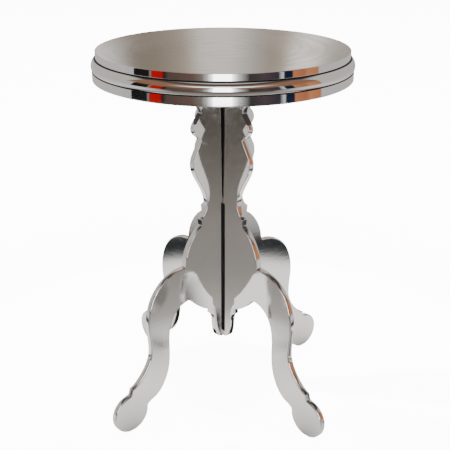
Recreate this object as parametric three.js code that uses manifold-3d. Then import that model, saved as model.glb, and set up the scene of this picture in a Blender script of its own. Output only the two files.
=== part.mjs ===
// Round-topped side table in polished cast aluminium.
// The foot is made of two flat silhouette plates that cross at right angles in a
// cross-lap joint. The top is a drum of three stacked bands on a round core board.
// Millimetres, +Z up, origin on the floor under the centre of the table.
import * as THREE from 'three';
import { mergeVertices } from 'three/addons/utils/BufferGeometryUtils.js';
import Module from 'manifold-3d';

// ---- driving dimensions -------------------------------------------------
const TABLE_HEIGHT = 560;

// drum top
const TOP_RADIUS = 181.5;
const RIM_RADIUS = 187;
const BEAD_TOP_STEP = 1.2;
const BEAD_FOOT_STEP = 1;
const UPPER_BAND = 10.4;
const BEAD_BAND = 17.1;
const LOWER_BAND = 13;
const BEAD_BULGE = 3.6;
const BEAD_STEPS = 10;
const TOP_SKIN = 3.5;
const BAND_WALL = 8;
const BAND_EDGE = 0.8;
const ROUND_STEPS = 96;

// crossed plates
const PLATE_THICKNESS = 10;
const PLATE_EDGE = 0.7;
const FOOT_RADIUS = 30.5;
const FOOT_REACH = 190.5;
const FOOT_FLAT = 5;
const FOOT_ARC_START = Math.PI * 0.51;
const FOOT_ARC_END = -Math.PI * 1.045;
const LAP_HEIGHT = 334;
const SLOT_RELIEF = 4.2;
const SLOT_RELIEF_AT_LAP = 1.4;
const THROAT = 9;
const SLOT_OVERRUN = 30;
const PENDANT_BOTTOM = 96;
const SPAN_STEPS = 3;

// joint hardware
const GAP = 0.3;
const FLANGE_RADIUS = 88;
const FLANGE_THICKNESS = 3;
const SPINE_SCREW_OFFSET = 54;
const SPINE_SCREW_RADIUS = 2.5;
const SPINE_SCREW_LENGTH = 32;
const SPINE_HEAD_FLARE = 2.6;
const BOARD_SCREW_CIRCLE = 66;
const BOARD_SCREW_RADIUS = 2.2;
const BOARD_SCREW_LENGTH = 26;
const BOARD_HEAD_RADIUS = 4.4;
const BOARD_HEAD_HEIGHT = 2.6;
const HEX_RADIUS = 1.5;
const HEX_DEPTH = 1.4;
const SCREW_STEPS = 24;

// ---- levels -------------------------------------------------------------
const DRUM_BOTTOM = TABLE_HEIGHT - UPPER_BAND - BEAD_BAND - LOWER_BAND;
const FOOT_CENTRE = Math.sqrt(FOOT_RADIUS ** 2 - FOOT_FLAT ** 2);
const LOWER_BAND_TOP = DRUM_BOTTOM + LOWER_BAND;
const BEAD_TOP = LOWER_BAND_TOP + BEAD_BAND;
const FLANGE_BOTTOM = DRUM_BOTTOM - GAP - FLANGE_THICKNESS;
const PLATE_TOP = FLANGE_BOTTOM - GAP;
const BOARD_BOTTOM = DRUM_BOTTOM;

// ---- materials ----------------------------------------------------------
function material(name, color, roughness, metalness) {
  const m = new THREE.MeshStandardMaterial({ color, roughness, metalness });
  m.name = name;
  return m;
}
const polished = () => material('polished_aluminium', 0xd9dadb, 0.12, 1);
const turned = () => material('turned_aluminium', 0xcfd0d2, 0.3, 1);
const zinc = () => material('zinc_steel', 0xb7bbc0, 0.35, 1);
const board = () => material('lacquered_board', 0x2b2522, 0.6, 0);

const group = new THREE.Group();
group.name = 'brass_tray_table';

function addNode(name, geometry, mat) {
  const mesh = new THREE.Mesh(geometry, mat);
  mesh.name = name;
  group.add(mesh);
}

// ---- solid operations ---------------------------------------------------
const wasm = await Module();
wasm.setup();

function toSolid(geometry) {
  const g = geometry.clone();
  g.deleteAttribute('normal');
  g.deleteAttribute('uv');
  const merged = mergeVertices(g, 1e-4);
  return new wasm.Manifold(new wasm.Mesh({
    numProp: 3,
    vertProperties: Float32Array.from(merged.attributes.position.array),
    triVerts: Uint32Array.from(merged.index.array),
  }));
}

function toGeometry(solid) {
  const m = solid.getMesh();
  const g = new THREE.BufferGeometry();
  g.setAttribute('position', new THREE.BufferAttribute(new Float32Array(m.vertProperties), 3));
  g.setIndex(new THREE.BufferAttribute(new Uint32Array(m.triVerts), 1));
  const flat = g.toNonIndexed();
  flat.computeVertexNormals();
  return flat;
}

function union(list) {
  return list.reduce((a, b) => a.add(b));
}

function rodSolid(radius, z0, z1, x, y, steps = SCREW_STEPS) {
  const g = new THREE.CylinderGeometry(radius, radius, z1 - z0, steps);
  g.rotateX(Math.PI / 2);
  g.translate(x, y, (z0 + z1) / 2);
  return toSolid(g);
}

// Turned solid: profile is a closed list of [radius, height].
function turnedSolid(profile, steps = ROUND_STEPS) {
  const points = profile.map(([r, z]) => new THREE.Vector2(r, z));
  points.push(points[0].clone());
  const g = new THREE.LatheGeometry(points, steps);
  g.rotateX(Math.PI / 2);
  return toSolid(g);
}

// ---- drum top -----------------------------------------------------------
const BOARD_RADIUS = TOP_RADIUS - BAND_WALL - GAP;
const inner = TOP_RADIUS - BAND_WALL;

// Turned face plate: a shallow cup whose skirt is the upper band.
const faceProfile = [
  [0, TABLE_HEIGHT - TOP_SKIN],
  [inner, TABLE_HEIGHT - TOP_SKIN],
  [inner, BEAD_TOP + GAP],
  [TOP_RADIUS - BAND_EDGE, BEAD_TOP + GAP],
  [TOP_RADIUS, BEAD_TOP + GAP + BAND_EDGE],
  [TOP_RADIUS, TABLE_HEIGHT - BAND_EDGE],
  [TOP_RADIUS - BAND_EDGE, TABLE_HEIGHT],
  [0, TABLE_HEIGHT],
];

// Middle band: convex bead that bulges past the two flat bands.
const beadTopRadius = TOP_RADIUS + BEAD_TOP_STEP;
const beadFootRadius = RIM_RADIUS - BEAD_FOOT_STEP;
function beadCurve(count) {
  const points = [];
  for (let i = 0; i <= count; i += 1) {
    const t = i / count;
    const chord = beadFootRadius + (beadTopRadius - beadFootRadius) * t;
    const bulge = BEAD_BULGE * Math.sin(Math.PI * t) ** 0.75;
    points.push([chord + bulge, LOWER_BAND_TOP + GAP + (BEAD_BAND - GAP) * t]);
  }
  return points;
}
const beadProfile = [
  [inner, LOWER_BAND_TOP + GAP],
  ...beadCurve(BEAD_STEPS),
  [inner, BEAD_TOP],
];

const lowerProfile = [
  [inner, DRUM_BOTTOM],
  [RIM_RADIUS - BAND_EDGE, DRUM_BOTTOM],
  [RIM_RADIUS, DRUM_BOTTOM + BAND_EDGE],
  [RIM_RADIUS, LOWER_BAND_TOP - BAND_EDGE],
  [RIM_RADIUS - BAND_EDGE, LOWER_BAND_TOP],
  [inner, LOWER_BAND_TOP],
];

const boardProfile = [
  [0, BOARD_BOTTOM],
  [BOARD_RADIUS, BOARD_BOTTOM],
  [BOARD_RADIUS, TABLE_HEIGHT - TOP_SKIN - GAP],
  [0, TABLE_HEIGHT - TOP_SKIN - GAP],
];

const flangeProfile = [
  [0, FLANGE_BOTTOM],
  [FLANGE_RADIUS, FLANGE_BOTTOM],
  [FLANGE_RADIUS, FLANGE_BOTTOM + FLANGE_THICKNESS],
  [0, FLANGE_BOTTOM + FLANGE_THICKNESS],
];

// ---- screws -------------------------------------------------------------
// Countersunk screw with its head up, driven down into a plate edge.
function headUpScrew(x, y, grow) {
  const top = FLANGE_BOTTOM + FLANGE_THICKNESS;
  const r = SPINE_SCREW_RADIUS + grow;
  const cone = [
    [0, top - FLANGE_THICKNESS - grow],
    [r, top - FLANGE_THICKNESS - grow],
    [r + SPINE_HEAD_FLARE, top],
  ];
  const cap = grow > 0
    ? [[r + SPINE_HEAD_FLARE, top + 1], [0, top + 1]]
    : [[0, top]];
  const head = turnedSolid([...cone, ...cap], SCREW_STEPS).translate([x, y, 0]);
  const shank = rodSolid(r, top - SPINE_SCREW_LENGTH - grow, top - 1, x, y);
  return head.add(shank);
}

// Dome-headed screw driven up through the flange into the core board.
function boardScrew(x, y, grow) {
  const seat = FLANGE_BOTTOM - (grow > 0 ? 1 : GAP);
  const tip = FLANGE_BOTTOM + BOARD_SCREW_LENGTH + grow;
  const shank = rodSolid(BOARD_SCREW_RADIUS + grow, seat, tip, x, y);
  if (grow > 0) {
    return shank;
  }
  const crown = seat - BOARD_HEAD_HEIGHT;
  const head = turnedSolid([
    [0, crown],
    [BOARD_HEAD_RADIUS * 0.5, crown + 0.3],
    [BOARD_HEAD_RADIUS * 0.86, crown + 1.4],
    [BOARD_HEAD_RADIUS, seat],
    [0, seat + 0.2],
  ], SCREW_STEPS).translate([x, y, 0]);
  const drive = rodSolid(HEX_RADIUS, crown - 1, crown + HEX_DEPTH, x, y, 6);
  return head.add(shank).subtract(drive);
}

const spineSpots = [
  [SPINE_SCREW_OFFSET, 0],
  [-SPINE_SCREW_OFFSET, 0],
  [0, SPINE_SCREW_OFFSET],
  [0, -SPINE_SCREW_OFFSET],
];
const diagonal = BOARD_SCREW_CIRCLE * Math.SQRT1_2;
const boardSpots = [
  [diagonal, diagonal],
  [-diagonal, diagonal],
  [-diagonal, -diagonal],
  [diagonal, -diagonal],
];
const spineHoles = union(spineSpots.map(([x, y]) => headUpScrew(x, y, GAP)));
const boardHoles = union(boardSpots.map(([x, y]) => boardScrew(x, y, GAP)));

// ---- crossed plates -----------------------------------------------------
// Right half of the silhouette as [distance from axis, height]. Each run is a smooth
// curve; runs meet at sharp corners.
const capital = [[72, PLATE_TOP], [72, 509], [63, 499], [52, 487], [45.5, 472]];
const firstKnob = [[57.5, 457.5], [60, 450.5], [57.5, 443], [51, 437], [45.5, 432]];
const vaseToWaist = [
  [55.5, 415.5], [60.5, 405], [61.5, 394], [56.5, 379], [48, 364],
  [40.5, 350], [36.5, 336], [37.5, 324], [42, 314.5], [48, 309],
];
const urn = [[46.5, 299], [55, 293], [64.5, 283], [72, 271], [77.5, 257.5], [80.5, 240]];
const legOutside = [
  [80.5, 240], [101, 238], [122, 229], [140, 211], [150, 188], [153, 164],
  [150.5, 141], [150, 118], [155, 103], [165.5, 87.5], [177, 76.5], [187, 70],
];
const legInside = [
  [153, 37.5], [143, 41.5], [132, 50.5], [122.5, 65.5], [116.5, 83], [114, 106],
  [114, 132], [110.5, 153], [102, 169.5], [90, 179], [78, 183], [71, 183],
];
const urnFoot = [[71, 183], [66, 176.5], [56, 167], [43, 158], [30, 153]];
const pendant = [
  [30, 143.5], [25, 139], [22.3, 131.5], [21.5, 123], [20.8, 115], [19, 106.5], [16, 100],
  [9, PENDANT_BOTTOM],
];

function smooth(points, perSpan) {
  const curve = new THREE.CatmullRomCurve3(
    points.map(([r, z]) => new THREE.Vector3(r, z, 0)), false, 'centripetal');
  return curve.getPoints((points.length - 1) * perSpan).map((p) => [p.x, p.y]);
}

// Points on the round foot between two angles, both ends included.
function footArc(from, to, count) {
  const points = [];
  for (let i = 0; i <= count; i += 1) {
    const a = from + (to - from) * (i / count);
    points.push([
      FOOT_REACH + FOOT_RADIUS * Math.cos(a),
      FOOT_CENTRE + FOOT_RADIUS * Math.sin(a),
    ]);
  }
  return points;
}

// Round foot: from the outside of the leg, down to the ground flat, up to the inside.
function footDisc() {
  const flat = Math.asin(FOOT_FLAT / FOOT_RADIUS);
  return [
    ...footArc(FOOT_ARC_START, -Math.PI / 2 + flat, 16),
    ...footArc(-Math.PI / 2 - flat, FOOT_ARC_END, 8),
  ];
}

function halfOutline() {
  return [
    ...smooth(capital, SPAN_STEPS),
    ...smooth(firstKnob, SPAN_STEPS),
    ...smooth(vaseToWaist, SPAN_STEPS),
    ...smooth(urn, SPAN_STEPS),
    ...smooth(legOutside, SPAN_STEPS).slice(1),
    ...footDisc(),
    ...smooth(legInside, SPAN_STEPS),
    ...smooth(urnFoot, SPAN_STEPS).slice(1),
    ...smooth(pendant, SPAN_STEPS),
  ];
}

function plateBlank() {
  const right = halfOutline();
  const left = right.map(([r, z]) => [-r, z]).reverse();
  const shape = new THREE.Shape(
    [...right, ...left].map(([r, z]) => new THREE.Vector2(r, z)));
  const g = new THREE.ExtrudeGeometry(shape, {
    depth: PLATE_THICKNESS - 2 * PLATE_EDGE,
    bevelEnabled: true,
    bevelThickness: PLATE_EDGE,
    bevelSize: PLATE_EDGE,
    bevelOffset: -PLATE_EDGE,
    bevelSegments: 1,
    steps: 1,
  });
  g.translate(0, 0, -(PLATE_THICKNESS - 2 * PLATE_EDGE) / 2);
  g.rotateX(Math.PI / 2);
  return toSolid(g);
}

// Slot for the crossing plate between the lap and the mouth. It is snug at both ends and
// relieved in between, by `atLap` and `atMouth` millimetres on each side.
function lapSlot(lap, mouth, atLap, atMouth) {
  const half = PLATE_THICKNESS / 2;
  const snug = half + GAP;
  const out = Math.sign(mouth - lap);
  const right = [
    [snug, lap],
    [snug, lap + out * THROAT],
    [half + atLap, lap + out * THROAT],
    [half + atMouth, mouth - out * THROAT],
    [snug, mouth - out * THROAT],
    [snug, mouth + out * SLOT_OVERRUN],
  ];
  const left = right.map(([r, z]) => [-r, z]).reverse();
  const shape = new THREE.Shape(
    [...right, ...left].map(([r, z]) => new THREE.Vector2(r, z)));
  const g = new THREE.ExtrudeGeometry(shape, { depth: 2 * PLATE_THICKNESS, bevelEnabled: false });
  g.translate(0, 0, -PLATE_THICKNESS);
  g.rotateX(Math.PI / 2);
  return toSolid(g);
}

const blank = plateBlank();
const slotFromTop = lapSlot(LAP_HEIGHT, PLATE_TOP, SLOT_RELIEF_AT_LAP, SLOT_RELIEF);
const slotFromBelow = lapSlot(LAP_HEIGHT + GAP, PENDANT_BOTTOM, SLOT_RELIEF, SLOT_RELIEF);
const turnedToY = (solid) => solid.rotate([0, 0, 90]);

// ---- nodes --------------------------------------------------------------
addNode('leg_plate_x', toGeometry(
  blank.subtract(slotFromTop).subtract(spineHoles)), polished());
addNode('leg_plate_y', toGeometry(
  turnedToY(blank.subtract(slotFromBelow)).subtract(spineHoles)), polished());
addNode('mount_flange', toGeometry(
  turnedSolid(flangeProfile).subtract(spineHoles).subtract(boardHoles)), zinc());
spineSpots.forEach(([x, y], i) => {
  addNode(`spine_screw_${i + 1}`, toGeometry(headUpScrew(x, y, 0)), zinc());
});
boardSpots.forEach(([x, y], i) => {
  addNode(`board_screw_${i + 1}`, toGeometry(boardScrew(x, y, 0)), zinc());
});
addNode('core_board', toGeometry(
  turnedSolid(boardProfile).subtract(boardHoles)), board());
addNode('lower_band', toGeometry(turnedSolid(lowerProfile)), polished());
addNode('bead_band', toGeometry(turnedSolid(beadProfile)), polished());
addNode('top_plate', toGeometry(turnedSolid(faceProfile)), turned());

export default group;
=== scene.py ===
"""Round-topped side table in polished cast aluminium, in a pale studio.

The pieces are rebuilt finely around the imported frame: two crossed silhouette plates, a
drum of three turned bands, the hidden board and its flange. The screws stay as packed.
Metres, +Z up, origin on the floor under the centre of the table.
"""
import math

import bmesh
import bpy
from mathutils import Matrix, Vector


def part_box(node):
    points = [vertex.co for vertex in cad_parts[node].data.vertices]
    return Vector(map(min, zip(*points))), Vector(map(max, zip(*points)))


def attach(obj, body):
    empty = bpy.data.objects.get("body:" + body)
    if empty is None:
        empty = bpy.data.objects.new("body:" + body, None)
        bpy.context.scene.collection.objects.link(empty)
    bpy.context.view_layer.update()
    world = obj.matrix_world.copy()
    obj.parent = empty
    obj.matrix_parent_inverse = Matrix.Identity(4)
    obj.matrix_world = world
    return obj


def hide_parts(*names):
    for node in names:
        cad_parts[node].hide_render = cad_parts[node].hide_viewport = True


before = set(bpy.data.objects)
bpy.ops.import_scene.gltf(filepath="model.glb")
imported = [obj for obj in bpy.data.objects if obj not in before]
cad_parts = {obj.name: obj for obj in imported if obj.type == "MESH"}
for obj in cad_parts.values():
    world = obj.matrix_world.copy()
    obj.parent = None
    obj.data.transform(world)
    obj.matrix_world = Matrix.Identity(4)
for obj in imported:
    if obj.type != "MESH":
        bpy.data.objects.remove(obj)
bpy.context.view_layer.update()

MM = 0.001

# ---- levels and radii, taken from the frame ---------------------------------
top_low, top_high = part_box("top_plate")
bead_low, bead_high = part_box("bead_band")
lower_low, lower_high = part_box("lower_band")
board_low, board_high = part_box("core_board")
flange_low, flange_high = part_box("mount_flange")
_, plate_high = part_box("leg_plate_x")

TABLE_TOP = top_high.z
TOP_RADIUS = top_high.x
RIM_RADIUS = lower_high.x
PLATE_TOP = plate_high.z
HALF_THICKNESS = plate_high.y
BAND_WALL = 8 * MM
INNER_RADIUS = TOP_RADIUS - BAND_WALL

# ---- crossed plates ---------------------------------------------------------
FOOT_RADIUS = 30.5 * MM
FOOT_REACH = 190.5 * MM
FOOT_FLAT = 5 * MM
FOOT_CENTRE = math.sqrt(FOOT_RADIUS ** 2 - FOOT_FLAT ** 2)
LAP_HEIGHT = 334 * MM
SNUG_HALF = 5.3 * MM
RELIEF_HALF = 9.2 * MM
RELIEF_HALF_AT_LAP = 6.4 * MM
THROAT = 9 * MM
PENDANT_BOTTOM = 96 * MM
SAMPLES_PER_SPAN = 8
# The foot's arc, in half turns: where it leaves the leg's outside and meets its inside.
FOOT_FROM = 0.51
FOOT_TO = -1.045
FOOT_OUTER_STEPS = 40
FOOT_INNER_STEPS = 22

# Right half of the silhouette, [distance from the axis, height] in millimetres. Each
# run is a smooth curve, and runs meet at corners.
CAPITAL = [(72, PLATE_TOP / MM), (72, 509), (63, 499), (52, 487), (45.5, 472)]
FIRST_KNOB = [(57.5, 457.5), (60, 450.5), (57.5, 443), (51, 437), (45.5, 432)]
VASE_TO_WAIST = [
    (55.5, 415.5), (60.5, 405), (61.5, 394), (56.5, 379), (48, 364),
    (40.5, 350), (36.5, 336), (37.5, 324), (42, 314.5), (48, 309),
]
URN = [(46.5, 299), (55, 293), (64.5, 283), (72, 271), (77.5, 257.5), (80.5, 240)]
LEG_OUTSIDE = [
    (80.5, 240), (101, 238), (122, 229), (140, 211), (150, 188), (153, 164),
    (150.5, 141), (150, 118), (155, 103), (165.5, 87.5), (177, 76.5), (187, 70),
]
LEG_INSIDE = [
    (153, 37.5), (143, 41.5), (132, 50.5), (122.5, 65.5), (116.5, 83), (114, 106),
    (114, 132), (110.5, 153), (102, 169.5), (90, 179), (78, 183), (71, 183),
]
URN_FOOT = [(71, 183), (66, 176.5), (56, 167), (43, 158), (30, 153)]
PENDANT = [
    (30, 143.5), (25, 139), (22.3, 131.5), (21.5, 123), (20.8, 115), (19, 106.5),
    (16, 100), (9, PENDANT_BOTTOM / MM),
]


def catmull_rom(points, per_span):
    """Centripetal Catmull-Rom curve through the points, both ends included."""
    pts = [Vector(p) for p in points]
    pts = [2 * pts[0] - pts[1], *pts, 2 * pts[-1] - pts[-2]]
    made = []
    for i in range(1, len(pts) - 2):
        p0, p1, p2, p3 = pts[i - 1:i + 3]
        d0 = max((p1 - p0).length ** 0.5, 1e-6)
        d1 = max((p2 - p1).length ** 0.5, 1e-6)
        d2 = max((p3 - p2).length ** 0.5, 1e-6)
        m1 = ((p1 - p0) / d0 - (p2 - p0) / (d0 + d1) + (p2 - p1) / d1) * d1
        m2 = ((p2 - p1) / d1 - (p3 - p1) / (d1 + d2) + (p3 - p2) / d2) * d1
        for k in range(per_span):
            t = k / per_span
            a = 2 * t ** 3 - 3 * t ** 2 + 1
            b = t ** 3 - 2 * t ** 2 + t
            c = 3 * t ** 2 - 2 * t ** 3
            d = t ** 3 - t ** 2
            made.append(p1 * a + m1 * b + p2 * c + m2 * d)
    made.append(pts[-2].copy())
    return made


def run(points):
    """A run of the outline, in metres."""
    return catmull_rom([(r * MM, z * MM) for r, z in points], SAMPLES_PER_SPAN)


def foot_arc(start, end, count):
    """Points of the round foot from one angle to another."""
    centre = Vector((FOOT_REACH, FOOT_CENTRE))
    angles = [start + (end - start) * i / count for i in range(count + 1)]
    return [centre + FOOT_RADIUS * Vector((math.cos(a), math.sin(a))) for a in angles]


def half_outline():
    """The right half's outline from the top, down the outside, to the pendant."""
    flat = math.asin(FOOT_FLAT / FOOT_RADIUS)
    points = run(CAPITAL) + run(FIRST_KNOB) + run(VASE_TO_WAIST) + run(URN)
    points += run(LEG_OUTSIDE)[1:]
    points += foot_arc(math.pi * FOOT_FROM, -math.pi / 2 + flat, FOOT_OUTER_STEPS)
    points += foot_arc(-math.pi / 2 - flat, math.pi * FOOT_TO, FOOT_INNER_STEPS)
    points += run(LEG_INSIDE) + run(URN_FOOT)[1:] + run(PENDANT)
    return points


def slot_from_top():
    """Half of the lap slot that opens at the top, from its floor up to its mouth."""
    return [
        Vector((SNUG_HALF, LAP_HEIGHT)),
        Vector((SNUG_HALF, LAP_HEIGHT + THROAT)),
        Vector((RELIEF_HALF_AT_LAP, LAP_HEIGHT + THROAT)),
        Vector((RELIEF_HALF, PLATE_TOP - THROAT)),
        Vector((SNUG_HALF, PLATE_TOP - THROAT)),
        Vector((SNUG_HALF, PLATE_TOP)),
    ]


def slot_from_below():
    """Half of the lap slot that opens at the pendant, from its mouth to its ceiling."""
    return [
        Vector((SNUG_HALF, PENDANT_BOTTOM)),
        Vector((SNUG_HALF, PENDANT_BOTTOM + THROAT)),
        Vector((RELIEF_HALF, PENDANT_BOTTOM + THROAT)),
        Vector((RELIEF_HALF, LAP_HEIGHT - THROAT)),
        Vector((SNUG_HALF, LAP_HEIGHT - THROAT)),
        Vector((SNUG_HALF, LAP_HEIGHT)),
    ]


def mirrored(points):
    """The other half of an outline, in the order that carries it on."""
    return [Vector((-p.x, p.y)) for p in reversed(points)]


def spaced(points, least):
    """The closed outline without points that nearly coincide."""
    kept = [points[0]]
    for p in points[1:]:
        if (p - kept[-1]).length > least:
            kept.append(p)
    if (kept[0] - kept[-1]).length <= least:
        kept.pop()
    return kept


def turn_at(before, here, after):
    """Signed turn of the outline at a point, in radians."""
    a = here - before
    b = after - here
    return math.atan2(a.x * b.y - a.y * b.x, a.dot(b))


# A corner is where the outline turns more than this. Its arc has this radius, takes at
# most this share of the edges beside it, and other points stay clear of it.
CORNER_TURN = math.radians(24)
CORNER_RADIUS = 0.6 * MM
CORNER_SHARE = 0.45
CORNER_CLEAR = 1.3 * MM
CORNER_STEPS = 4


def eased_corners(points):
    """Replaces each sharp corner by a small arc. Returns (point, is on a corner) pairs."""
    n = len(points)
    sharp = [
        abs(turn_at(points[i - 1], points[i], points[(i + 1) % n])) > CORNER_TURN
        for i in range(n)
    ]
    corners = [points[i] for i in range(n) if sharp[i]]
    kept = [
        (points[i], sharp[i]) for i in range(n)
        if sharp[i] or all((points[i] - c).length > CORNER_CLEAR for c in corners)
    ]
    made = []
    n = len(kept)
    for i in range(n):
        here, corner = kept[i]
        if not corner:
            made.append((here, False))
            continue
        before = kept[i - 1][0]
        after = kept[(i + 1) % n][0]
        turn = abs(turn_at(before, here, after))
        room = CORNER_SHARE * min((before - here).length, (after - here).length)
        cut = min(CORNER_RADIUS * math.tan(turn / 2), room)
        start = here + (before - here).normalized() * cut
        end = here + (after - here).normalized() * cut
        for k in range(CORNER_STEPS + 1):
            t = k / CORNER_STEPS
            on_curve = start * (1 - t) ** 2 + here * 2 * t * (1 - t) + end * t ** 2
            made.append((on_curve, True))
    return made


# Rounding of the plates' edges, and the distances from the axis where the column's
# rounding starts to give way to the legs' and has done so.
COLUMN_ROUND = 0.9 * MM
LEG_ROUND = 2.2 * MM
CORNER_ROUND = 0.4 * MM
COLUMN_END = 70 * MM
LEG_START = 120 * MM
CORNER_FADE = 5 * MM
ROUND_STEPS = 5
LEAST_SPACING = 0.15 * MM
LEAST_COSINE = 0.5
SLOT_MARGIN = 0.2 * MM


def smoothstep(low, high, x):
    """0 below the low value, 1 above the high one, and a smooth rise between them."""
    t = min(max((x - low) / (high - low), 0), 1)
    return t * t * (3 - 2 * t)


def edge_rounds(ring):
    """How far the plate's edge is rounded at each point: small at corners, fuller on legs."""
    corners = [p for p, corner in ring if corner]
    made = []
    for p, corner in ring:
        on_leg = smoothstep(COLUMN_END, LEG_START, abs(p.x))
        full = COLUMN_ROUND + (LEG_ROUND - COLUMN_ROUND) * on_leg
        near = min((p - c).length for c in corners)
        made.append(CORNER_ROUND + (full - CORNER_ROUND) * smoothstep(0, CORNER_FADE, near))
    return made


def inward_steps(points):
    """For each point of a closed outline, the step that moves its edges in by one metre."""
    n = len(points)
    made = []
    for i in range(n):
        a = (points[i] - points[i - 1]).normalized()
        b = (points[(i + 1) % n] - points[i]).normalized()
        along = (a + b).normalized()
        spread = max(along.dot(a), LEAST_COSINE)
        made.append(Vector((-along.y, along.x)) / spread)
    crosses = [points[i - 1].x * points[i].y - points[i].x * points[i - 1].y for i in range(n)]
    clockwise = sum(crosses) < 0
    return [-v for v in made] if clockwise else made


def round_over():
    """Edge of a plate from one face to the other: (inset, depth, side), in roundings."""
    made = []
    for k in range(ROUND_STEPS + 1):
        angle = math.pi / 2 * k / ROUND_STEPS
        made.append((1 - math.sin(angle), 1 - math.cos(angle), 1))
    return made + [(inset, depth, -1) for inset, depth, _ in reversed(made)]


def plate_mesh(name, outline, across_y, slot_low, slot_high):
    """A flat casting with rounded edges, standing in the XZ plane or turned to YZ. The
    slot's walls, between the two heights, get its second material, a near-black skin that
    paints the shade in the slot."""
    ring = eased_corners(spaced(outline, LEAST_SPACING))
    rounds = edge_rounds(ring)
    n = len(ring)
    points = [p for p, _ in ring]
    inward = inward_steps(points)
    bm = bmesh.new()
    rings = []
    for inset, depth, side in round_over():
        row = []
        for i in range(n):
            p = points[i] + inward[i] * inset * rounds[i]
            y = side * (HALF_THICKNESS - depth * rounds[i])
            place = (-y, p.x, p.y) if across_y else (p.x, y, p.y)
            row.append(bm.verts.new(place))
        rings.append(row)
    for low, high in zip(rings, rings[1:]):
        for i in range(n):
            face = bm.faces.new((low[i], low[(i + 1) % n], high[(i + 1) % n], high[i]))
            face.smooth = True
    for cap in (rings[0], rings[-1]):
        face = bm.faces.new(cap)
        for edge in face.edges:
            edge.smooth = False
    bmesh.ops.recalc_face_normals(bm, faces=bm.faces)
    for face in bm.faces:
        centre = face.calc_center_median()
        from_axis = abs(centre.y if across_y else centre.x)
        in_slot = slot_low < centre.z < slot_high and from_axis < RELIEF_HALF + SLOT_MARGIN
        if in_slot and len(face.verts) == 4:
            face.material_index = 1
    return mesh_object(name, bm)


def mesh_object(name, bm):
    """Puts a finished bmesh into the scene as an object."""
    mesh = bpy.data.meshes.new(name)
    bm.to_mesh(mesh)
    bm.free()
    made = bpy.data.objects.new(name, mesh)
    bpy.context.scene.collection.objects.link(made)
    return made


# ---- turned parts -----------------------------------------------------------
DRUM_SEGMENTS = 360
HIDDEN_SEGMENTS = 180
ARC_STEPS = 4
SUPPORT = 0.35 * MM
ON_AXIS = 1e-7
SHARP_EDGE = math.radians(35)


def rounded_profile(corners):
    """Closed profile of (radius, height, rounding). A rounded corner becomes an arc with
    a support point on either side, so that the flats beside it stay flat."""
    n = len(corners)
    made = []
    for i in range(n):
        here = Vector(corners[i][:2])
        ease = corners[i][2]
        if ease == 0:
            made.append(here)
            continue
        before = (Vector(corners[i - 1][:2]) - here).normalized()
        after = (Vector(corners[(i + 1) % n][:2]) - here).normalized()
        start = here + before * ease
        end = here + after * ease
        made.append(start + before * SUPPORT)
        for k in range(ARC_STEPS + 1):
            t = k / ARC_STEPS
            made.append(start * (1 - t) ** 2 + here * 2 * t * (1 - t) + end * t ** 2)
        made.append(end + after * SUPPORT)
    return made


def level_ring(bm, radius, z, segments):
    """Vertices in a level circle round the axis, or the one vertex on it."""
    if radius < ON_AXIS:
        return [bm.verts.new((0, 0, z))]
    angles = [2 * math.pi * s / segments for s in range(segments)]
    return [bm.verts.new((radius * math.cos(a), radius * math.sin(a), z)) for a in angles]


def turned(name, profile, segments=DRUM_SEGMENTS):
    """A solid turned about the vertical axis from a closed profile of (radius, height)."""
    bm = bmesh.new()
    rings = [level_ring(bm, r, z, segments) for r, z in profile]
    for i in range(len(rings)):
        low = rings[i - 1]
        high = rings[i]
        if len(low) == 1 and len(high) == 1:
            continue
        for s in range(segments):
            t = (s + 1) % segments
            if len(low) == 1:
                bm.faces.new((low[0], high[s], high[t]))
            elif len(high) == 1:
                bm.faces.new((low[s], high[0], low[t]))
            else:
                bm.faces.new((low[s], low[t], high[t], high[s]))
    bmesh.ops.recalc_face_normals(bm, faces=bm.faces)
    for face in bm.faces:
        face.smooth = True
    for edge in bm.edges:
        if len(edge.link_faces) == 2 and edge.calc_face_angle() > SHARP_EDGE:
            edge.smooth = False
    return mesh_object(name, bm)


# ---- materials --------------------------------------------------------------
# Turning marks: how far once round the axis counts, in metres of noise, and the radius
# inside which they spread no further.
TURNING_LENGTH = 12 * MM
TURNING_CENTRE = 10 * MM


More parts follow.
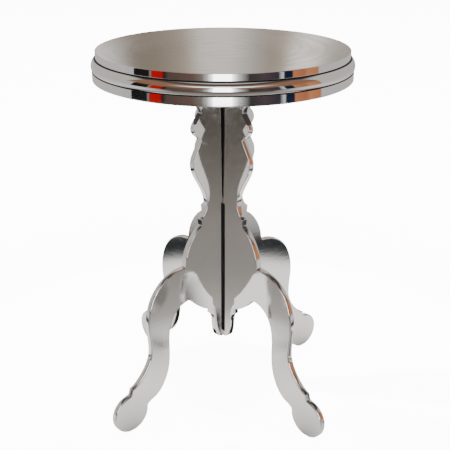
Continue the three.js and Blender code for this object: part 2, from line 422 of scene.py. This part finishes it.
class Nodes:
    """Short hand for building a material's node tree, or one that is given."""

    def __init__(self, name, tree=None):
        self.tree = tree
        if tree is not None:
            tree.nodes.clear()
            return
        self.material = bpy.data.materials.new(name)
        self.material.use_nodes = True
        self.tree = self.material.node_tree
        self.tree.nodes.clear()
        self.shader = self.add("ShaderNodeBsdfPrincipled")
        output = self.add("ShaderNodeOutputMaterial")
        self.link(self.shader.outputs["BSDF"], output.inputs["Surface"])
        self.place = self.add("ShaderNodeTexCoord").outputs["Object"]

    def add(self, kind, **settings):
        """A new node with the given properties."""
        node = self.tree.nodes.new(kind)
        for key, value in settings.items():
            setattr(node, key, value)
        return node

    def link(self, source, target):
        self.tree.links.new(source, target)

    def put(self, target, value):
        """Links a socket, or sets a constant."""
        if isinstance(value, bpy.types.NodeSocket):
            self.link(value, target)
        else:
            target.default_value = value

    def axes(self, vector=None):
        """The X, Y and Z of a vector, or of the place on the object."""
        split = self.add("ShaderNodeSeparateXYZ")
        self.link(vector or self.place, split.inputs[0])
        return split.outputs["X"], split.outputs["Y"], split.outputs["Z"]

    def math(self, operation, a, b=0.0):
        node = self.add("ShaderNodeMath", operation=operation)
        self.put(node.inputs[0], a)
        self.put(node.inputs[1], b)
        return node.outputs[0]

    def noise(self, scale, detail, rough, at=None):
        """Noise with this many features to the metre."""
        node = self.add("ShaderNodeTexNoise")
        self.link(at or self.place, node.inputs["Vector"])
        node.inputs["Scale"].default_value = scale
        node.inputs["Detail"].default_value = detail
        node.inputs["Roughness"].default_value = rough
        return node.outputs["Fac"]

    def stretched(self, scale, rotation=(0, 0, 0)):
        """The place on the object, scaled and turned so that a noise runs in streaks."""
        node = self.add("ShaderNodeMapping")
        self.link(self.place, node.inputs["Vector"])
        node.inputs["Scale"].default_value = scale
        node.inputs["Rotation"].default_value = rotation
        return node.outputs["Vector"]

    def remap(self, value, low, high, to_low, to_high):
        """Takes the range from low to high to another range, held at its ends."""
        node = self.add("ShaderNodeMapRange")
        self.put(node.inputs["Value"], value)
        node.inputs["From Min"].default_value = low
        node.inputs["From Max"].default_value = high
        node.inputs["To Min"].default_value = to_low
        node.inputs["To Max"].default_value = to_high
        return node.outputs["Result"]

    def rise(self, value, low, high):
        """0 up to the low value and 1 from the high one on."""
        return self.remap(value, low, high, 0.0, 1.0)

    def fall(self, value, low, high):
        """1 up to the low value and 0 from the high one on."""
        return self.remap(value, low, high, 1.0, 0.0)

    def mix(self, factor, a, b):
        """Colour a where the factor is 0 and colour b where it is 1."""
        node = self.add("ShaderNodeMix", data_type="RGBA")
        self.put(node.inputs["Factor"], factor)
        self.put(node.inputs["A"], a)
        self.put(node.inputs["B"], b)
        return node.outputs["Result"]

    def bump(self, height, distance, after=None):
        """Surface relief of this height in metres, on top of another relief or alone."""
        node = self.add("ShaderNodeBump")
        self.link(height, node.inputs["Height"])
        node.inputs["Distance"].default_value = distance
        node.inputs["Strength"].default_value = 1.0
        if after is not None:
            self.link(after, node.inputs["Normal"])
        return node.outputs["Normal"]

    def radius(self):
        """Distance from the vertical axis."""
        x, y, _ = self.axes()
        x2 = self.math("MULTIPLY", x, x)
        y2 = self.math("MULTIPLY", y, y)
        return self.math("SQRT", self.math("ADD", x2, y2))

    def arc_place(self, radius):
        """Coordinates that run long round the axis and short across it, for turning marks."""
        x, y, _ = self.axes()
        joined = self.add("ShaderNodeCombineXYZ")
        self.link(radius, joined.inputs["X"])
        off_centre = self.math("MAXIMUM", radius, TURNING_CENTRE)
        for part, target in ((x, "Y"), (y, "Z")):
            share = self.math("DIVIDE", part, off_centre)
            self.link(self.math("MULTIPLY", share, TURNING_LENGTH), joined.inputs[target])
        return joined.outputs[0]

    def ramp(self, factor, stops):
        """A colour ramp through stops of (place from 0 to 1, colour)."""
        node = self.add("ShaderNodeValToRGB")
        self.link(factor, node.inputs["Fac"])
        elements = node.color_ramp.elements
        while len(elements) > 1:
            elements.remove(elements[-1])
        elements[0].position = stops[0][0]
        for place, _ in stops[1:]:
            elements.new(place)
        for element, (_, colour) in zip(elements, stops):
            element.color = (*colour, 1)
        return node.outputs["Color"]

    def set(self, **inputs):
        """Sets the shader's inputs, named with _ for a space."""
        for key, value in inputs.items():
            self.put(self.shader.inputs[key.replace("_", " ")], value)


ALUMINIUM = (0.86, 0.855, 0.85, 1)
ALUMINIUM_DULL = (0.72, 0.71, 0.70, 1)
ZINC = (0.56, 0.57, 0.58, 1)
ZINC_STAINED = (0.40, 0.39, 0.36, 1)
# Slot-wall tones: near-black, painting the shade in the gap between the plates.
SLOT_SHADE_DARK = (0.012, 0.012, 0.014, 1)
SLOT_SHADE_PALE = (0.045, 0.045, 0.05, 1)
# Board tones: dark lacquer, near-black so that it also paints the shade under the drum.
BOARD_SHADE_DARK = (0.010, 0.008, 0.007, 1)
BOARD_SHADE_PALE = (0.026, 0.020, 0.016, 1)

# Black marks: painted shade in the plates' corner, and a dark line in the drum's joints.
# How far the shade reaches from the axis in the plates' corner, how far it comes below the
# lap, and half the width of the line in the drum's joints.
JOINT_AND_SHADE_BLACK = (0.02, 0.02, 0.022, 1)
CORNER_SHADE_REACH = 6.8 * MM
CORNER_SHADE_EDGE = 0.5 * MM
CORNER_SHADE_DROP = 1 * MM
JOINT_LINE = 0.5 * MM
JOINT_FADE = 1.4
JOINT_AND_SHADE_ROUGH = 0.5


def corner_painted_shade(n):
    """Painted black shade in the corner of the crossed plates, above the lap."""
    x, y, z = n.axes()
    away = n.math("MAXIMUM", n.math("ABSOLUTE", x), n.math("ABSOLUTE", y))
    inside = n.fall(away, CORNER_SHADE_REACH - CORNER_SHADE_EDGE, CORNER_SHADE_REACH)
    above = n.rise(z, LAP_HEIGHT - CORNER_SHADE_DROP, LAP_HEIGHT)
    return n.math("MULTIPLY", inside, above)


def joint_grime(n):
    """Black line in the joints between the three bands of the drum."""
    _, _, z = n.axes()
    lines = []
    for joint in (lower_high.z, bead_high.z):
        off = n.math("ABSOLUTE", n.math("SUBTRACT", z, joint))
        lines.append(n.fall(off, JOINT_LINE, JOINT_LINE * JOINT_FADE))
    return n.math("MAXIMUM", lines[0], lines[1])


BUFFING_STRETCH = (1, 1, 9)
PIT_RELIEF = -0.04 * MM
PIT_TONE = 0.6


def polished_aluminium(name, wave, gloss, scuff_turn, pitting, buffing, dark_joints_and_shade):
    """Hand-polished casting: soft waves, fine buffing lines, smudges and a few pits."""
    n = Nodes(name)
    # A mask of black marks: painted shade in the plates' corner, and the dark joint lines on the
    # bands.
    joint_and_shade_mask = dark_joints_and_shade(n)
    smudge = n.noise(scale=9.0, detail=4.0, rough=0.6)
    streaks = n.stretched(BUFFING_STRETCH, scuff_turn)
    buff = n.noise(scale=55.0, detail=3.0, rough=0.6, at=streaks)
    pits = n.noise(scale=420.0, detail=1.0, rough=0.4)
    pit = n.remap(pits, low=0.74, high=0.80, to_low=0.0, to_high=pitting)
    tone = n.remap(smudge, low=0.35, high=0.75, to_low=0.0, to_high=0.35)
    tone = n.math("MAXIMUM", tone, n.math("MULTIPLY", pit, PIT_TONE))
    metal = n.mix(tone, ALUMINIUM, ALUMINIUM_DULL)
    n.set(Base_Color=n.mix(joint_and_shade_mask, metal, JOINT_AND_SHADE_BLACK), Metallic=1.0)
    rough = n.remap(smudge, low=0.3, high=0.8, to_low=gloss * 0.75, to_high=gloss * 1.6)
    scuffed = n.remap(buff, low=0.4, high=0.8, to_low=0.0, to_high=gloss * 0.5)
    rough = n.math("ADD", rough, scuffed)
    rough = n.math("ADD", rough, n.math("MULTIPLY", joint_and_shade_mask, JOINT_AND_SHADE_ROUGH))
    n.set(Roughness=rough)
    waves = n.bump(n.noise(scale=11.0, detail=1.0, rough=0.4), wave)
    lines = n.bump(buff, buffing, after=waves)
    n.set(Normal=n.bump(pit, PIT_RELIEF, after=lines))
    return n.material


TOP_ANISOTROPY = 0.6
TOP_WAVE = 0.4 * MM
TOOL_RING_RELIEF = 0.02 * MM


def turned_aluminium(name):
    """Face turned on a lathe: concentric tool rings over a slightly wandering polish."""
    n = Nodes(name)
    radius = n.radius()
    line = n.add("ShaderNodeCombineXYZ")
    n.link(radius, line.inputs["X"])
    rings = n.noise(scale=900.0, detail=2.0, rough=0.7, at=line.outputs[0])
    bands = n.noise(scale=110.0, detail=3.0, rough=0.6, at=n.arc_place(radius))
    smudge = n.noise(scale=7.0, detail=4.0, rough=0.6)
    band_tone = n.remap(bands, low=0.35, high=0.7, to_low=0.0, to_high=0.75)
    smudge_tone = n.remap(smudge, low=0.4, high=0.8, to_low=0.0, to_high=0.3)
    tone = n.math("ADD", band_tone, smudge_tone)
    n.set(Base_Color=n.mix(tone, ALUMINIUM, ALUMINIUM_DULL), Metallic=1.0)
    band_rough = n.remap(bands, low=0.3, high=0.7, to_low=0.08, to_high=0.14)
    smudge_rough = n.remap(smudge, low=0.3, high=0.8, to_low=0.0, to_high=0.04)
    n.set(Roughness=n.math("ADD", band_rough, smudge_rough), Anisotropic=TOP_ANISOTROPY)
    tangent = n.add("ShaderNodeTangent", direction_type="RADIAL", axis="Z")
    n.set(Tangent=tangent.outputs[0])
    soft = n.bump(n.noise(scale=5.0, detail=1.0, rough=0.4), TOP_WAVE)
    n.set(Normal=n.bump(rings, TOOL_RING_RELIEF, after=soft))
    return n.material


def zinc_steel(name):
    """Zinc-plated steel with a faint spangle and stains."""
    n = Nodes(name)
    spangle = n.noise(scale=160.0, detail=3.0, rough=0.6)
    stain = n.noise(scale=30.0, detail=4.0, rough=0.6)
    stained = n.remap(stain, low=0.35, high=0.75, to_low=0.0, to_high=0.7)
    n.set(Base_Color=n.mix(stained, ZINC, ZINC_STAINED), Metallic=1.0)
    n.set(Roughness=n.remap(spangle, low=0.3, high=0.7, to_low=0.28, to_high=0.42))
    n.set(Normal=n.bump(spangle, 0.05 * MM))
    return n.material


def slot_skin_painted_shade(name):
    """Unpolished skin inside the slots, near-black as painted shade in the gap between the
    plates.
    """
    n = Nodes(name)
    sand = n.noise(scale=300.0, detail=3.0, rough=0.6)
    n.set(Base_Color=n.mix(sand, SLOT_SHADE_DARK, SLOT_SHADE_PALE), Metallic=0.3)
    n.set(Roughness=n.remap(sand, low=0.3, high=0.7, to_low=0.55, to_high=0.75))
    n.set(Normal=n.bump(sand, 0.3 * MM))
    return n.material


def lacquered_board_with_painted_shade(name):
    """Dark lacquer over an open grain, near-black so that it also paints the shade under the
    drum.
    """
    n = Nodes(name)
    grain = n.noise(scale=26.0, detail=5.0, rough=0.65, at=n.stretched((1, 9, 1)))
    pore = n.noise(scale=240.0, detail=2.0, rough=0.6, at=n.stretched((0.15, 1, 1)))
    n.set(Base_Color=n.mix(grain, BOARD_SHADE_DARK, BOARD_SHADE_PALE))
    n.set(Roughness=n.remap(pore, low=0.3, high=0.8, to_low=0.42, to_high=0.62))
    n.set(Normal=n.bump(pore, 0.12 * MM, after=n.bump(grain, 0.25 * MM)))
    return n.material


PLATE_WAVE = 0.6 * MM
BAND_WAVE = 0.04 * MM
PLATE_BUFFING = 0.04 * MM
BAND_BUFFING = 0.008 * MM
PLATE_GLOSS = 0.05
BAND_GLOSS = 0.03
SCUFF_TILT = 0.3
# The plates' material paints black shade into their inner corner.
cast_x = polished_aluminium(
    "cast_aluminium_x", wave=PLATE_WAVE, gloss=PLATE_GLOSS, scuff_turn=(0, SCUFF_TILT, 0),
    pitting=1.0, buffing=PLATE_BUFFING, dark_joints_and_shade=corner_painted_shade)
cast_y = polished_aluminium(
    "cast_aluminium_y", wave=PLATE_WAVE, gloss=PLATE_GLOSS, scuff_turn=(SCUFF_TILT, 0, 0),
    pitting=1.0, buffing=PLATE_BUFFING, dark_joints_and_shade=corner_painted_shade)
band_metal = polished_aluminium(
    "band_aluminium", wave=BAND_WAVE, gloss=BAND_GLOSS, scuff_turn=(0, 0, 0),
    pitting=0.0, buffing=BAND_BUFFING, dark_joints_and_shade=joint_grime)
top_metal = turned_aluminium("turned_top_aluminium")
zinc = zinc_steel("zinc_plated_steel")
slot_shade_skin = slot_skin_painted_shade("slot_walls_painted_shade")
board_lacquer_and_shade = lacquered_board_with_painted_shade("lacquered_board_painted_shade")


# ---- pieces -----------------------------------------------------------------
def place_piece(piece, node, material):
    """Gives a piece its material and puts it in the place of its frame node."""
    piece.data.materials.append(material)
    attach(piece, "root")
    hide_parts(node)


right = half_outline()
top_slot = slot_from_top()
outline_x = right + mirrored(right) + mirrored(top_slot) + top_slot
low_slot = slot_from_below()
outline_y = right + low_slot + mirrored(low_slot) + mirrored(right)

SLOT_END = 1 * MM
SLOT_MOUTH = 2 * MM
plate_x = plate_mesh(
    "cast_plate_x", outline_x, across_y=False,
    slot_low=LAP_HEIGHT - SLOT_END, slot_high=PLATE_TOP - SLOT_END)
plate_y = plate_mesh(
    "cast_plate_y", outline_y, across_y=True,
    slot_low=PENDANT_BOTTOM + SLOT_MOUTH, slot_high=LAP_HEIGHT + SLOT_END)
place_piece(plate_x, "leg_plate_x", cast_x)
place_piece(plate_y, "leg_plate_y", cast_y)
# The slot walls get a near-black skin that paints the shade in the slot.
plate_x.data.materials.append(slot_shade_skin)
plate_y.data.materials.append(slot_shade_skin)

EDGE = 0.8 * MM
SKIN = 3.5 * MM
lower_band = turned("lower_band_ring", rounded_profile([
    (INNER_RADIUS, lower_low.z, 0),
    (RIM_RADIUS, lower_low.z, EDGE),
    (RIM_RADIUS, lower_high.z, EDGE),
    (INNER_RADIUS, lower_high.z, 0),
]))
place_piece(lower_band, "lower_band", band_metal)

BEAD_TOP_RADIUS = TOP_RADIUS + 1.2 * MM
BEAD_FOOT_RADIUS = RIM_RADIUS - 1 * MM
BEAD_BULGE = 3.6 * MM
BEAD_FULLNESS = 0.75
BEAD_STEPS = 40
bead_curve = []
for i in range(BEAD_STEPS + 1):
    t = 0.5 - 0.5 * math.cos(math.pi * i / BEAD_STEPS)
    chord = BEAD_FOOT_RADIUS + (BEAD_TOP_RADIUS - BEAD_FOOT_RADIUS) * t
    swell = BEAD_BULGE * max(math.sin(math.pi * t), 0) ** BEAD_FULLNESS
    bead_curve.append(Vector((chord + swell, bead_low.z + (bead_high.z - bead_low.z) * t)))
bead_back_low = Vector((INNER_RADIUS, bead_low.z))
bead_back_high = Vector((INNER_RADIUS, bead_high.z))
bead_profile = [bead_back_low, *bead_curve, bead_back_high]
bead_band = turned("bead_band_ring", bead_profile)
place_piece(bead_band, "bead_band", band_metal)

top_cup = turned("top_plate_cup", rounded_profile([
    (0, TABLE_TOP - SKIN, 0),
    (INNER_RADIUS, TABLE_TOP - SKIN, 0),
    (INNER_RADIUS, top_low.z, 0),
    (TOP_RADIUS, top_low.z, EDGE),
    (TOP_RADIUS, TABLE_TOP, EDGE),
    (0, TABLE_TOP, 0),
]))
place_piece(top_cup, "top_plate", top_metal)
top_cup.data.materials.append(band_metal)
SKIRT_START = TABLE_TOP - 0.1 * MM
for face in top_cup.data.polygons:
    centre = face.center
    if math.hypot(centre.x, centre.y) > INNER_RADIUS and centre.z < SKIRT_START:
        face.material_index = 1

BOARD_LOWER_EDGE = 1.2 * MM
BOARD_UPPER_EDGE = 0.6 * MM
board = turned("core_board_disc", rounded_profile([
    (0, board_low.z, 0),
    (board_high.x, board_low.z, BOARD_LOWER_EDGE),
    (board_high.x, board_high.z, BOARD_UPPER_EDGE),
    (0, board_high.z, 0),
]), HIDDEN_SEGMENTS)
place_piece(board, "core_board", board_lacquer_and_shade)

FLANGE_LOWER_EDGE = 0.7 * MM
FLANGE_UPPER_EDGE = 0.5 * MM
flange = turned("mount_flange_disc", rounded_profile([
    (0, flange_low.z, 0),
    (flange_high.x, flange_low.z, FLANGE_LOWER_EDGE),
    (flange_high.x, flange_high.z, FLANGE_UPPER_EDGE),
    (0, flange_high.z, 0),
]), HIDDEN_SEGMENTS)
place_piece(flange, "mount_flange", zinc)

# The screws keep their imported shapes.
for name in sorted(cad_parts):
    if "screw" in name:
        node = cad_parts[name]
        node.data.materials.clear()
        node.data.materials.append(zinc)

# ---- studio -----------------------------------------------------------------
# The direction that the front of the studio lies in, seen from the table.
FRONT = math.radians(227.75)
FLOOR_SIZE = 9.0
FLOOR_STEPS = 96
# The floor that the camera sees and the one that the metal sees lie just under the feet.
FLOOR_LEVEL = -0.6 * MM
SHEET_LEVEL = -0.4 * MM
WALL_RADIUS = 8.5
WALL_LOW = -6.0
WALL_HIGH = 9.0
WALL_STEPS = 96
PAINT_DARK = (0.80, 0.80, 0.80, 1)
PAINT_PALE = (0.82, 0.82, 0.815, 1)
PAINT_GLOW = 11.0


def floor_disc(name, z, material):
    """A round floor at this level."""
    bm = bmesh.new()
    bmesh.ops.create_circle(bm, cap_ends=True, radius=FLOOR_SIZE, segments=FLOOR_STEPS)
    made = mesh_object(name, bm)
    made.location.z = z
    made.data.materials.append(material)
    return made


def seen_by(obj, camera, diffuse, glossy, shadow):
    """Which rays meet the object."""
    obj.visible_camera = camera
    obj.visible_diffuse = diffuse
    obj.visible_glossy = glossy
    obj.visible_shadow = shadow


def grey(value, warm=0.03):
    """A grey tone, a little warmer or, with a negative share, cooler."""
    return (value, value * (1 - warm), value * (1 - 2 * warm))


def opaque(colour):
    """A colour with full alpha."""
    return (*colour, 1)


def pale_paint(name):
    """White paint, lit so brightly that it has no shade."""
    n = Nodes(name)
    mottle = n.noise(scale=2.0, detail=3.0, rough=0.5)
    n.set(Base_Color=n.mix(mottle, PAINT_DARK, PAINT_PALE), Roughness=0.9)
    n.set(Emission_Color=(1.0, 1.0, 1.0, 1), Emission_Strength=PAINT_GLOW)
    return n.material


# What stands round the front of the studio, from the left to the right of the table as
# one faces it. Each stop is (degrees from straight ahead, colour).
ROOM = [
    (-81, grey(0.62)), (-80.5, grey(0.012, 0)), (-64.6, grey(0.016, 0)), (-64, grey(0.22)),
    (-62.4, grey(0.22)), (-62, (0.55, 0.006, 0.006)), (-52, (0.50, 0.006, 0.006)),
    (-50, grey(0.02, 0)), (-46, (0.10, 0.07, 0.06)), (-25, (0.15, 0.095, 0.08)),
    (-17, grey(0.22, 0.10)), (-12.5, grey(0.7)), (-9, grey(2.4, 0)), (-7, grey(7, 0)),
    (6.5, grey(7, 0)), (8.7, grey(2.6, 0)), (12.5, grey(0.9)), (17, grey(0.35, 0)),
    (22, grey(0.05, 0.06)), (34, (0.085, 0.06, 0.07)), (47, (0.045, 0.04, 0.05)),
    (50.5, grey(0.7, 0)), (51.5, grey(0.7, 0)), (52.5, (0.010, 0.016, 0.05)),
    (60, (0.010, 0.016, 0.05)), (61, (0.62, 0.22, 0.10)), (72, (0.50, 0.17, 0.08)),
    (76, (0.66, 0.26, 0.12)), (88, (0.58, 0.22, 0.10)), (89, grey(0.62)),
]


def room_angle(n, vector):
    """The angle of a vector from straight ahead: as a place on ROOM, and in degrees."""
    x, y, _ = n.axes(vector)
    parts = []
    for angle in (FRONT, FRONT + math.pi / 2):
        x_part = n.math("MULTIPLY", x, math.cos(angle))
        y_part = n.math("MULTIPLY", y, math.sin(angle))
        parts.append(n.math("ADD", x_part, y_part))
    degrees = n.math("MULTIPLY", n.math("ARCTAN2", parts[1], parts[0]), 180 / math.pi)
    return n.rise(degrees, -90, 90), degrees


def room_colour(n, factor):
    """The room's colour at a place on ROOM."""
    return n.ramp(factor, [((a + 90) / 180, colour) for a, colour in ROOM])


# How far the sheet's tones are given, and where the room's foot takes over in front.
SHEET_REACH = 2.5
ROOM_START = 2.23
ROOM_FULL = 2.27
# Tone of the floor ahead of the table against distance in metres. The near-black first stops
# paint the table's shadow under it.
FLOOR_AHEAD = [
    (0.0, grey(0.02)), (0.07, grey(0.03)), (0.10, grey(1.4)), (0.21, grey(1.5)),
    (0.27, grey(0.60, 0.05)), (0.33, grey(0.51, 0.06)), (0.405, grey(0.425, 0.07)),
    (0.49, grey(0.37, 0.07)), (0.69, grey(0.34, 0.08)), (0.81, grey(0.29, 0.09)),
    (0.95, grey(0.25, 0.10)), (1.10, grey(0.205, 0.11)), (1.28, grey(0.155, 0.12)),
    (1.48, grey(0.115, 0.14)), (1.73, grey(0.085, 0.16)), (2.19, grey(0.065, 0.17)),
]
# Tone of the floor beside and behind it. The near-black first stops paint the table's shadow
# under it.
FLOOR_ASIDE = [
    (0.0, grey(0.02)), (0.07, grey(0.03)), (0.10, grey(1.5)), (0.45, grey(1.5)),
    (0.50, grey(1.25)), (0.535, grey(0.25, 0)), (0.57, grey(0.03, -0.10)),
    (0.64, grey(0.035, -0.10)), (0.68, grey(0.40)), (0.95, grey(0.95)), (1.5, grey(0.8)),
    (2.3, grey(0.66)),
]
# Painted shadow of the table and its feet on the floor: first and last degree from
# straight ahead, nearest and farthest distance from the table's axis in metres, softness
# in degrees, and tone.
PAINTED_SHADOW_PATCHES = [
    (52, 78, 0.21, 0.44, 8, 0.24),
    (0.4, 8, 0.17, 0.27, 1, 0.03),
    (79.5, 97, 0.10, 0.40, 1, 0.03),
    (93, 181, 0.0, 0.145, 1, 0.03),
    (-181, -93, 0.0, 0.145, 1, 0.03),
]
PATCH_EDGE = 0.015
# Degrees from straight ahead where the floor ahead gives way to the floor aside.
AHEAD_END = 40
ASIDE_START = 72
# Shade close to the table's feet: its reach, its contrast and its samples.
SHADE_REACH = 0.12
SHADE_POWER = 1.8
SHADE_SAMPLES = 6


def patch_cover(n, degrees, radius, patch):
    """1 inside one painted shadow patch of the floor and 0 outside it."""
    first, last, nearest, farthest, soft, _ = patch
    middle = (first + last) / 2
    off = n.math("ABSOLUTE", n.math("SUBTRACT", degrees, middle))
    half = (last - first) / 2
    between = n.fall(off, half - soft, half)
    within = n.fall(radius, farthest - PATCH_EDGE, farthest)
    beyond = n.rise(radius, nearest - PATCH_EDGE, nearest)
    return n.math("MULTIPLY", between, n.math("MULTIPLY", within, beyond))


def sheet_material():
    """The floor as the metal sees it: a glowing pale sheet with the table's shadow painted in,
    and the room beyond it in front.
    """
    n = Nodes("sheet_and_room_floor")
    distance = n.radius()
    radius = n.math("DIVIDE", distance, SHEET_REACH)
    factor, degrees = room_angle(n, n.place)
    ahead = n.ramp(radius, [(r / SHEET_REACH, colour) for r, colour in FLOOR_AHEAD])
    aside = n.ramp(radius, [(r / SHEET_REACH, colour) for r, colour in FLOOR_ASIDE])
    off_front = n.math("ABSOLUTE", degrees)
    near = n.mix(n.fall(off_front, AHEAD_END, ASIDE_START), aside, ahead)
    # Paints the shadow of the table and its feet into the floor's glow.
    for patch in PAINTED_SHADOW_PATCHES:
        cover = patch_cover(n, degrees, distance, patch)
        near = n.mix(cover, near, opaque(grey(patch[-1], 0.06)))
    in_front = n.fall(off_front, 90, 91)
    past = n.rise(radius, ROOM_START / SHEET_REACH, ROOM_FULL / SHEET_REACH)
    colour = n.mix(n.math("MULTIPLY", past, in_front), near, room_colour(n, factor))
    shade = n.add("ShaderNodeAmbientOcclusion", samples=SHADE_SAMPLES)
    shade.inputs["Distance"].default_value = SHADE_REACH
    glow = n.math("POWER", shade.outputs["AO"], SHADE_POWER)
    n.set(Base_Color=(0, 0, 0, 1), Roughness=1.0, Emission_Color=colour, Emission_Strength=glow)
    n.set(Specular_IOR_Level=0.0)
    return n.material


floor = floor_disc("floor", FLOOR_LEVEL, pale_paint("pale_floor"))
seen_by(floor, camera=True, diffuse=False, glossy=False, shadow=False)
sheet = floor_disc("floor_sheet", SHEET_LEVEL, sheet_material())
seen_by(sheet, camera=False, diffuse=True, glossy=True, shadow=False)

# A pale wall all round, which closes the view behind the table from low angles.
wall_mesh = bmesh.new()
wall_foot = level_ring(wall_mesh, WALL_RADIUS, WALL_LOW, WALL_STEPS)
wall_head = level_ring(wall_mesh, WALL_RADIUS, WALL_HIGH, WALL_STEPS)
for s in range(WALL_STEPS):
    t = (s + 1) % WALL_STEPS
    wall_mesh.faces.new((wall_foot[s], wall_foot[t], wall_head[t], wall_head[s]))
wall = mesh_object("backdrop_wall", wall_mesh)
wall.data.materials.append(pale_paint("pale_wall"))
seen_by(wall, camera=True, diffuse=False, glossy=False, shadow=False)


def area_light(name, place, target, size, power):
    """A soft light that the metal doesn't mirror: the world holds what it mirrors."""
    data = bpy.data.lights.new(name, "AREA")
    data.shape = "RECTANGLE"
    data.size = size[0]
    data.size_y = size[1]
    data.energy = power
    made = bpy.data.objects.new(name, data)
    bpy.context.scene.collection.objects.link(made)
    made.location = place
    made.rotation_mode = "QUATERNION"
    made.rotation_quaternion = (Vector(target) - Vector(place)).to_track_quat("-Z", "Y")
    seen_by(made, camera=False, diffuse=True, glossy=False, shadow=True)


OVERHEAD_PLACE = (0, 0, 3.0)
OVERHEAD_SIZE = (3.0, 3.0)
OVERHEAD_POWER = 740
FRONT_DISTANCE = 1.5
FRONT_PLACE = (FRONT_DISTANCE * math.cos(FRONT), FRONT_DISTANCE * math.sin(FRONT), 1.9)
FRONT_TARGET = (0, 0, 0.4)
FRONT_SIZE = (2.4, 0.22)
FRONT_POWER = 30
area_light("overhead", OVERHEAD_PLACE, (0, 0, 0), OVERHEAD_SIZE, OVERHEAD_POWER)
area_light("front_high", FRONT_PLACE, FRONT_TARGET, FRONT_SIZE, FRONT_POWER)

# Heights from here on are the Z of a direction, from 0 at the horizon to 1 overhead.
# Tall panels behind the table: how many degrees they span, and their tones from one
# side to the other. Each stop is (share of the span, tone).
PANEL_SPREAD = 24.0
PANELS = [
    (0.0, 0.65), (0.10, 0.98), (0.155, 1.20), (0.195, 0.60), (0.235, 0.24), (0.31, 0.28),
    (0.39, 0.42), (0.44, 0.88), (0.52, 0.86), (0.58, 0.50), (0.635, 0.38), (0.672, 0.46),
    (0.690, 1.05), (0.74, 1.25), (0.765, 1.1), (0.785, 0.50), (0.86, 0.42), (1.0, 0.65),
]
# Panels under this tone are warmer than the rest.
DIM_PANEL = 0.5
DIM_WARMTH = 0.18
PANEL_WARMTH = 0.07
# How fast the panels fan out with height, and the height where they stand true.
PANEL_FAN = 3.0
PANEL_LEVEL = 0.19
# High window strip in front: its height, half its depth with the even part's share of
# it, and the degrees from straight ahead where it starts to fade and where it ends.
STRIP_HEIGHT = 0.62
STRIP_DEPTH = 0.09
STRIP_EVEN = 0.3
STRIP_FADE_START = 8
STRIP_FADE_END = 58
STRIP_TONE = 4.0
# The front room's upper end: its height, how much higher the window reaches and the
# degrees over which that ends, and how far the fade runs below and above the end.
ROOM_TOP = 0.34
WINDOW_RISE = 0.30
WINDOW_EDGE = (7, 15)
ROOM_TOP_FADE = (-0.12, 0.10)
CEILING = (0.30, 0.16, 0.10, 1)
# Dark beams across the ceiling, higher up in front, and the plain tone overhead.
BEAMS = 0.05
BEAMS_FADE = (0.62, 0.74)
BEAMS_FRONT_RISE = 0.12
OVERHEAD_TONE = 0.62
OVERHEAD_FADE = (0.88, 0.95)


def panel_wall(n, degrees, height):
    """Wall behind the table, with its panels leaning out as they rise."""
    round_back = n.math("FLOORED_MODULO", n.math("ADD", degrees, 360), 360)
    off_back = n.math("SUBTRACT", round_back, 180)
    fan = n.math("ADD", n.math("MULTIPLY", n.math("SUBTRACT", height, PANEL_LEVEL), PANEL_FAN), 1)
    place = n.math("MULTIPLY", off_back, n.math("MULTIPLY", fan, -1 / PANEL_SPREAD))
    stops = []
    for share, tone in PANELS:
        warmth = DIM_WARMTH if tone < DIM_PANEL else PANEL_WARMTH
        stops.append((share, grey(tone, warmth)))
    return n.ramp(n.math("ADD", place, 0.5), stops)


def front_strip(n, degrees, height):
    """Soft light from the high window strip."""
    off_level = n.math("ABSOLUTE", n.math("SUBTRACT", height, STRIP_HEIGHT))
    level = n.fall(n.math("DIVIDE", off_level, STRIP_DEPTH), STRIP_EVEN, 1.0)
    side = n.fall(n.math("ABSOLUTE", degrees), STRIP_FADE_START, STRIP_FADE_END)
    return n.math("MULTIPLY", level, n.math("MULTIPLY", side, side))


def studio_world():
    """Grey room with tall panels behind, and the dark side of the room in front."""
    world = bpy.data.worlds.new("studio")
    world.use_nodes = True
    bpy.context.scene.world = world
    n = Nodes("studio", world.node_tree)
    out = n.add("ShaderNodeOutputWorld")
    background = n.add("ShaderNodeBackground")
    direction = n.add("ShaderNodeTexCoord").outputs["Generated"]
    factor, degrees = room_angle(n, direction)
    _, _, height = n.axes(direction)
    off_front = n.math("ABSOLUTE", degrees)
    window = n.remap(off_front, *WINDOW_EDGE, WINDOW_RISE, 0.0)
    top = n.math("ADD", window, ROOM_TOP)
    above = n.rise(n.math("SUBTRACT", height, top), *ROOM_TOP_FADE)
    ahead = n.mix(above, room_colour(n, factor), CEILING)
    strip = front_strip(n, degrees, height)
    ahead = n.mix(strip, ahead, opaque(grey(STRIP_TONE, -0.02)))
    facing = n.fall(off_front, 89.5, 90.5)
    walls = n.mix(facing, panel_wall(n, degrees, height), ahead)
    beam_height = n.math("SUBTRACT", height, n.math("MULTIPLY", facing, BEAMS_FRONT_RISE))
    roofed = n.mix(n.rise(beam_height, *BEAMS_FADE), walls, opaque(grey(BEAMS)))
    overhead = n.rise(height, *OVERHEAD_FADE)
    sky = n.mix(overhead, roofed, opaque(grey(OVERHEAD_TONE)))
    n.link(sky, background.inputs["Color"])
    n.link(background.outputs[0], out.inputs["Surface"])


studio_world()

# ---- camera -----------------------------------------------------------------
CAMERA_PLACE = Vector((-0.7968, -0.8815, 0.7721))
CAMERA_LOOKS = Vector((0.62239, 0.68520, -0.37834))
camera_data = bpy.data.cameras.new("camera")
camera_data.lens = 66.28
camera_data.sensor_width = 36
camera_data.clip_start = 0.05
camera_data.clip_end = 60
camera = bpy.data.objects.new("camera", camera_data)
bpy.context.scene.collection.objects.link(camera)
camera.location = CAMERA_PLACE
camera.rotation_mode = "QUATERNION"
camera.rotation_quaternion = CAMERA_LOOKS.to_track_quat("-Z", "Y")
bpy.context.scene.camera = camera

bpy.context.view_layer.update()
